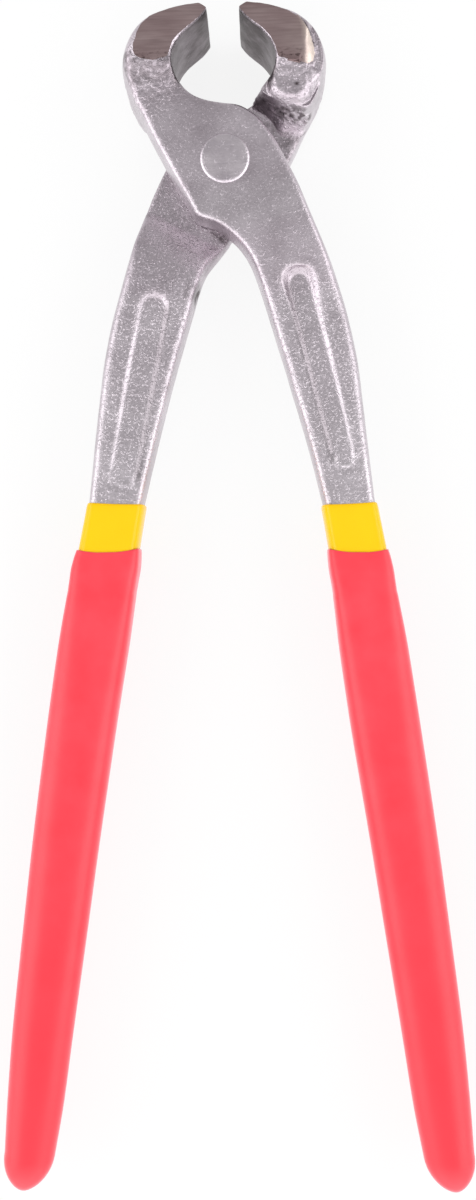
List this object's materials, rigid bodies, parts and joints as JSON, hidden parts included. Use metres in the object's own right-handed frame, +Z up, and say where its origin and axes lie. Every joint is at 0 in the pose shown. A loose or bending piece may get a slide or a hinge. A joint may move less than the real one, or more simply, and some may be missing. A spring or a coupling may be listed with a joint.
{
  "type": "end cutting nippers",
  "caption": "End cutting nippers with lapped forged levers on a solid rivet, rounded jaws with an open throat, panelled shanks and long slender handles dipped in yellow and red plastic.",
  "frame": {"origin": "centre of the tool's footprint as it lies flat with the jaws slightly open, at the level of the jaws' lower ground faces", "axes": "+Z up along the pivot axis, +Y from the handles to the jaws along the middle line, +X to the right seen from above with the jaws away from the viewer"},
  "size_m": [0.0986, 0.2446, 0.02],
  "materials": {
    "forged_steel": "satin nickel plated forging, side faces of the jaws ground",
    "rivet_steel": "satin, ground flush with the plates",
    "yellow_coating": "smooth dipped plastic",
    "red_coating": "satin dipped plastic"
  },
  "bodies": {
    "front": {"front_lever": "forged_steel", "pivot_rivet": "rivet_steel", "front_sleeve": "yellow_coating", "front_grip": "red_coating"},
    "rear": {"rear_lever": "forged_steel", "rear_sleeve": "yellow_coating", "rear_grip": "red_coating"}
  },
  "joints": [
    {"name": "jaw_pivot", "type": "hinge", "parent": "front", "child": "rear", "pos_m": [0, 0.09159, 0.01], "axis": [0, 0, 1], "range_deg": [-40, 11.7]}
  ]
}
